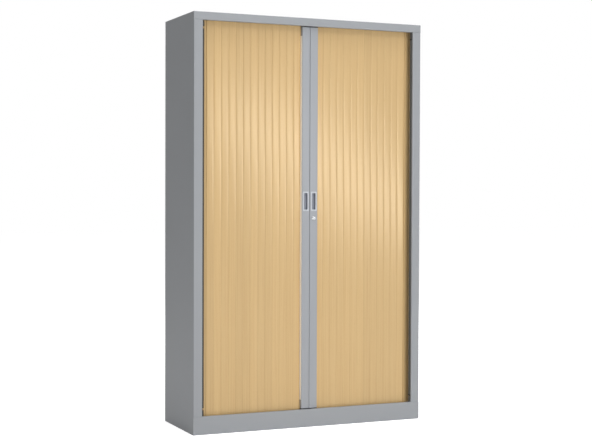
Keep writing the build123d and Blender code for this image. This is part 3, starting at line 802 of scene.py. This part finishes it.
def build_cup(side, look, materials):
    """Moulded handle cup: a flange that lies on the rail's face and a deep recess for the fingers,
    soft at its lip and at its bottom. The recess is a darker grey than the flange: painted shade
    over the plastic's grain."""
    low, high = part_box(f"{side}_handle_cup")
    rail_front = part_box(f"{side}_leading_rail")[0].y
    floor = high.y - look.cup_wall
    centre = (low + high) / 2
    flange = ((high.x - low.x) / 2, (high.z - low.z) / 2)
    recess = (look.recess_width / 2, look.recess_height / 2)
    lip, edge, foot = look.cup_lip, look.cup_edge, look.cup_foot

    steps = [(recess, -foot * (1 - s), floor - foot * (1 - c)) for s, c in quarter()]
    steps += [(recess, lip * (1 - c), low.y + lip * (1 - s)) for s, c in quarter()]
    steps += [(flange, -edge * (1 - s), low.y + edge * (1 - c)) for s, c in quarter()]
    steps += [(flange, 0, rail_front), (recess, look.cup_wall, rail_front), (recess, look.cup_wall, high.y)]
    loops = []
    for half, grown, y in steps:
        sizes = (half[0] + grown, half[1] + grown)
        # A loop that shrinks keeps at least a fifth of its corner radius
        loops.append(rounded_loop(centre, sizes, look.cup_corner + max(grown, -0.8 * look.cup_corner), y))
    # The recess floor and its first bands take the darker grey, which is painted shade
    cup = skin(f"moulded_{side}_cup", loops, materials, inner=len(quarter()))
    dress(cup, f"{side}_handle_cup")


def build_highlight_strip(side, hand, look, material):
    """Thin near-white strip on the side of a leading rail that faces its curtain, from the rail's
    rounded front edge back to the slats: a painted highlight for the glint along the rail's edge.
    It flares out towards the slats, and both of its long edges are round."""
    low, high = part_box(f"{side}_leading_rail")
    wall = RAIL_OUTER
    front, rear = low.y + look.rail_round, CURTAIN_FRONT - CLEARANCE
    depth = look.highlight_strip_thickness
    lip = wall + look.highlight_strip_flare
    outline = [(wall, front), (wall, rear)]
    outline += [(lip + depth * s, rear - depth * (1 - c)) for s, c in quarter()]
    outline += [(wall + depth * c, front + depth * (1 - s)) for s, c in quarter()]
    heights = (low.z + look.highlight_strip_inset, high.z - look.highlight_strip_inset)
    highlight_strip = skin(f"{side}_rail_highlight_strip", upright_loops(hand, outline, heights), [material])
    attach(highlight_strip, f"{side}_door")


def build_shade_strip(side, hand, look, material):
    """Dark strip on the upright's return, above, between and below the end buffers: painted shade
    for the shadow at the edge of the curtain. It closes the view past the edge of the curtain and
    stands clear in front of the rail and its cup."""
    low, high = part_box(f"{side}_leading_rail")
    buffers_low, buffers_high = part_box("end_buffers")
    wall = buffers_high.x
    tip = wall - look.shade_strip_width
    half = look.shade_strip_thickness / 2
    middle = low.y - look.shade_strip_lead
    outline = [(wall, middle - half), (wall, middle + half)]
    outline += [(tip + half * (1 - s), middle + half * c) for s, c in quarter()]
    outline += [(tip + half * (1 - c), middle - half * s) for s, c in quarter()]
    past_rail = RAIL_END_GAP - CLEARANCE
    past_buffer = BUFFER_HEIGHT + CLEARANCE
    spans = (
        (low.z - past_rail, buffers_low.z - CLEARANCE),
        (buffers_low.z + past_buffer, buffers_high.z - past_buffer),
        (buffers_high.z + CLEARANCE, high.z + past_rail),
    )
    for number, heights in enumerate(spans, 1):
        shade_strip = skin(f"{side}_jamb_shade_strip_{number}", upright_loops(hand, outline, heights), [material])
        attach(shade_strip, "carcass")


def build_rosette(look, material, sides=48):
    """Turned lock barrel with a domed rosette round its rim."""
    low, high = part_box("lock_barrel")
    plug_low, plug_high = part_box("lock_plug")
    rail_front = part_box("right_leading_rail")[0].y
    centre = (low + high) / 2
    rim = (high.x - low.x) / 2
    bore = (plug_high.x - plug_low.x) / 2 + look.plug_gap
    barrel = bore + BARREL_WALL
    flat, fall = look.rosette_flat, look.rosette_dome
    profile = [(flat + (rim - flat) * s, low.y + fall * (1 - c)) for s, c in quarter(steps=8)]
    profile += [(rim, rail_front), (barrel, rail_front), (barrel, high.y), (bore, high.y)]
    profile += [(bore, low.y + BORE_CHAMFER), (bore + BORE_CHAMFER, low.y)]
    loops = []
    for k in range(sides):
        turn = math.tau * k / sides
        loops.append([(centre.x + r * math.cos(turn), y, centre.z + r * math.sin(turn)) for r, y in profile])
    rosette = skin("lock_rosette", loops, [material], closed=True)
    dress(rosette, "lock_barrel")


class CUPBOARD_OT_paint_carcass(Operator):
    """Powder-coat the sheet-metal parts and the leading rails"""

    bl_idname = "cupboard.paint_carcass"
    bl_label = "Paint carcass"

    def execute(self, context):
        look = context.scene.carcass_look
        silver = powder_coat("silver powder coat", look, look.silver, roughness=0.42, gloss=0.15)
        rail = powder_coat("rail powder coat", look, look.rail_silver, roughness=0.3, gloss=0.2)
        for name in frame["nodes"]:
            if name.endswith("leading_rail"):
                paint_nodes(rail, [name])
            elif body_of(name) == "carcass":
                paint_nodes(silver, [name])
        return {"FINISHED"}


class CUPBOARD_OT_build_curtains(Operator):
    """Build both curtains, slat by slat"""

    bl_idname = "cupboard.build_curtains"
    bl_label = "Build curtains"

    def execute(self, context):
        look = context.scene.curtain_look
        material = beech_foil(look)
        tree = slat_tree()
        for side, hand in SIDES:
            build_curtain(side, hand, tree, look, material)
        return {"FINISHED"}


class CUPBOARD_OT_fit_strips(Operator):
    """Build the slotted strips, their screws and the rivets of the back"""

    bl_idname = "cupboard.fit_strips"
    bl_label = "Fit strips"

    def execute(self, context):
        look = context.scene.carcass_look
        zinc = context.scene.fitting_look.zinc
        build_strips(look, bpy.data.materials["silver powder coat"])
        build_fixings(look, plated_metal("zinc-plated fixing", zinc, roughness=0.35, grit=2 * MM))
        return {"FINISHED"}


class CUPBOARD_OT_dress_fittings(Operator):
    """Give tracks, glides, buffers, clips, feet and lock their plastics, rubber and plating"""

    bl_idname = "cupboard.dress_fittings"
    bl_label = "Dress fittings"

    def execute(self, context):
        look = context.scene.fitting_look
        track = moulded_plastic("extruded PVC track", look.track_black, roughness=0.4, grit=0.6 * MM)
        nylon = moulded_plastic("moulded nylon", look.track_black, roughness=0.5, grit=0.5 * MM)
        rubber = moulded_plastic("rubber", look.rubber, roughness=0.8, grit=0.8 * MM)
        # Painted highlight: glossy near-white plastic for the strips on the rail flanks
        highlight_strip = moulded_plastic("painted highlight strip", look.highlight_cream, roughness=0.15, grit=0.8 * MM)
        # Painted shade: near-black matt plastic for the jamb strips
        painted_shade = moulded_plastic("painted shade strip", look.shade_strip_black, roughness=0.9, grit=0.6 * MM)
        zinc = plated_metal("zinc-plated steel", look.zinc, roughness=0.35, grit=3 * MM)
        nickel = plated_metal("nickel plating", look.nickel, roughness=0.2, grit=2 * MM)
        flange = moulded_plastic("moulded ABS", look.cup_grey, roughness=0.38, grit=0.7 * MM)
        # Painted shade: a darker copy of the cup plastic for the recess, over its real grain
        inside = moulded_plastic("ABS with painted recess shade", look.recess_shade_grey, roughness=0.5, grit=0.9 * MM)
        paint_nodes(track, ["bottom_tracks", "top_tracks"])
        paint_nodes(nylon, ["left_rail_glides", "right_rail_glides"])
        paint_nodes(rubber, ["end_buffers"])
        paint_nodes(zinc, ["shelf_clips", "lock_hook"] + [n for n in frame["nodes"] if n.endswith("_foot")])
        paint_nodes(nickel, ["lock_plug"])
        build_rosette(look, nickel)
        for side, hand in SIDES:
            build_cup(side, look, [flange, inside])
            build_highlight_strip(side, hand, look, highlight_strip)
            build_shade_strip(side, hand, look, painted_shade)
        return {"FINISHED"}


class CUPBOARD_OT_set_stage(Operator):
    """Pale floor, soft lights, white surroundings and the camera"""

    bl_idname = "cupboard.set_stage"
    bl_label = "Set stage"

    def execute(self, context):
        look = context.scene.stage_look
        build_floor(look)
        build_world()
        build_lights(look)
        build_camera()
        context.scene.view_settings.view_transform = "Standard"
        return {"FINISHED"}


def seen_directly(tree):
    """1 for camera, mirror and transmitted rays, 0 for the rays that light things."""
    rays = add_node(tree, "ShaderNodeLightPath").outputs
    beyond = {0: rays["Is Glossy Ray"], 1: rays["Is Transmission Ray"]}
    mirror = add_node(tree, "ShaderNodeMath", beyond, operation="MAXIMUM")
    return add_node(tree, "ShaderNodeMath", {0: rays["Is Camera Ray"], 1: mirror}, operation="MAXIMUM")


def build_floor(look):
    """White floor. It keeps the cupboard's shadow near by, and melts into the white surroundings
    further off."""
    half = look.floor_size / 2
    corners = [(-half, -half, 0), (half, -half, 0), (half, half, 0), (-half, half, 0)]
    mesh = bpy.data.meshes.new("floor")
    mesh.from_pydata(corners, [], [(0, 1, 2, 3)])
    floor = bpy.data.objects.new("floor", mesh)
    bpy.context.scene.collection.objects.link(floor)
    material, tree, place = new_material("white studio floor")
    distance = add_node(tree, "ShaderNodeVectorMath", {0: place}, operation="LENGTH").outputs["Value"]
    levels = {
        "Value": distance,
        "From Min": look.shadow_reach,
        "From Max": 2 * look.shadow_reach,
        "To Min": look.floor_glow,
        "To Max": 1.0,
    }
    level = add_node(tree, "ShaderNodeMapRange", levels)
    amount = add_node(tree, "ShaderNodeMath", {0: seen_directly(tree), 1: level}, operation="MULTIPLY")
    matt = add_node(tree, "ShaderNodeBsdfDiffuse", {"Color": rgba(look.floor_white)})
    glow = add_node(tree, "ShaderNodeEmission", {"Color": WHITE, "Strength": amount})
    both = add_node(tree, "ShaderNodeAddShader", {0: matt, 1: glow})
    add_node(tree, "ShaderNodeOutputMaterial", {"Surface": both})
    mesh.materials.append(material)


def build_world():
    """Surroundings that look white and light nothing."""
    world = bpy.data.worlds.new("studio")
    bpy.context.scene.world = world
    world.use_nodes = True
    tree = world.node_tree
    tree.nodes.clear()
    white = {"Color": WHITE, "Strength": seen_directly(tree)}
    background = add_node(tree, "ShaderNodeBackground", white)
    add_node(tree, "ShaderNodeOutputWorld", {"Surface": background})


def add_area(name, centre, target, width, height, power, roll=0.0, mirrored=True):
    """A rectangular softbox that faces a point, turned by roll degrees about its own axis. One
    that is not mirrored lights things without a reflection of itself."""
    lamp = bpy.data.lights.new(name, "AREA")
    lamp.shape = "RECTANGLE"
    lamp.size = width
    lamp.size_y = height
    lamp.energy = power
    light = bpy.data.objects.new(name, lamp)
    bpy.context.scene.collection.objects.link(light)
    light.visible_glossy = mirrored
    aim = (Vector(target) - Vector(centre)).to_track_quat("-Z", "Y").to_matrix().to_4x4()
    light.matrix_world = Matrix.Translation(centre) @ aim @ Matrix.Rotation(math.radians(roll), 4, "Z")


def build_lights(look):
    """Softboxes all round, and a long tilted strip light whose mirror image runs down across
    both curtains."""
    middle = (0, 0, 1)
    add_area("key light", (-3.9, -6.9, 1.1), middle, 1.6, 2.4, look.key)
    add_area("top light", (0.4, -4.6, 5.4), middle, 3.0, 2.0, look.top)
    add_area("overhead light", (0, -1.2, 7.0), (0, -1.19, 0), 4.0, 4.0, look.overhead)
    add_area("low light", (0.6, -6.5, 0.45), (0, 0, 0.6), 3.2, 0.7, look.low, mirrored=False)
    add_area("strip light", (2.75, -5.88, 1.42), (0.1, 0, 1.2), 2.6, 0.42, look.strip, roll=-30)
    add_area("back light", (2.2, 5.5, 3.4), middle, 3.0, 2.0, look.back)
    add_area("side light", (6.0, 1.2, 1.5), middle, 2.4, 2.4, look.side)


def build_camera():
    """In front and to the left, a little above the middle of the cupboard's height."""
    camera = bpy.data.cameras.new("camera")
    camera.lens = 78.14
    camera.sensor_width = 36.0
    camera.clip_end = 100.0
    holder = bpy.data.objects.new("camera", camera)
    bpy.context.scene.collection.objects.link(holder)
    yaw = Matrix.Rotation(math.radians(-23.79), 4, "Z")
    pitch = Matrix.Rotation(math.radians(90 - 1.2346), 4, "X")
    roll = Matrix.Rotation(math.radians(0.19), 4, "Z")
    holder.matrix_world = Matrix.Translation((-2.5774, -5.8812, 1.130)) @ yaw @ pitch @ roll
    bpy.context.scene.camera = holder


class CUPBOARD_PT_panel(Panel):
    """Sizes and colours, with one button for each step"""

    bl_idname = "CUPBOARD_PT_panel"
    bl_label = "Tambour Cupboard"
    bl_space_type = "VIEW_3D"
    bl_region_type = "UI"
    bl_category = "Cupboard"

    def draw(self, context):
        layout = self.layout
        for group, settings in GROUPS.items():
            box = layout.box()
            for name in settings.__annotations__:
                box.prop(getattr(context.scene, group), name)
        for operator in OPERATORS:
            layout.operator(operator.bl_idname)


OPERATORS = (
    CUPBOARD_OT_paint_carcass,
    CUPBOARD_OT_fit_strips,
    CUPBOARD_OT_build_curtains,
    CUPBOARD_OT_dress_fittings,
    CUPBOARD_OT_set_stage,
)
CLASSES = (*GROUPS.values(), *OPERATORS, CUPBOARD_PT_panel)


def register():
    for cls in CLASSES:
        bpy.utils.register_class(cls)
    for group, settings in GROUPS.items():
        setattr(bpy.types.Scene, group, PointerProperty(type=settings))


def unregister():
    for group in GROUPS:
        delattr(bpy.types.Scene, group)
    for cls in reversed(CLASSES):
        bpy.utils.unregister_class(cls)


def main():
    register()
    bpy.ops.cupboard.paint_carcass()
    bpy.ops.cupboard.fit_strips()
    bpy.ops.cupboard.build_curtains()
    bpy.ops.cupboard.dress_fittings()
    bpy.ops.cupboard.set_stage()


if __name__ == "__main__":
    main()
